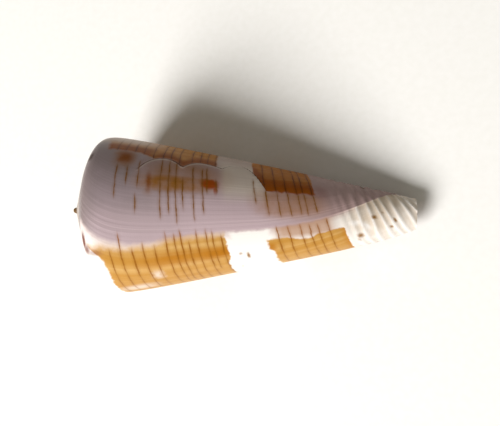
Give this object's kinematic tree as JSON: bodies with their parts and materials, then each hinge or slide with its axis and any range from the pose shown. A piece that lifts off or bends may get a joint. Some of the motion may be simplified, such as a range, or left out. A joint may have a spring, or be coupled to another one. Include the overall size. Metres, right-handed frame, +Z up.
{
  "type": "cone shell",
  "caption": "Empty cone-shaped sea snail shell with a low pointed spire, rounded shoulder and a long narrow aperture, lying on its aperture.",
  "frame": {"origin": "middle of the shell's footprint, on the surface that it rests on", "axes": "+Z up; +X along the shell from the spire towards the front tip; +Y towards the side away from the outer lip"},
  "size_m": [0.0538, 0.0252, 0.0232],
  "materials": {
    "shell": "satin"
  },
  "bodies": {
    "root": {"shell": "shell"}
  },
  "joints": []
}
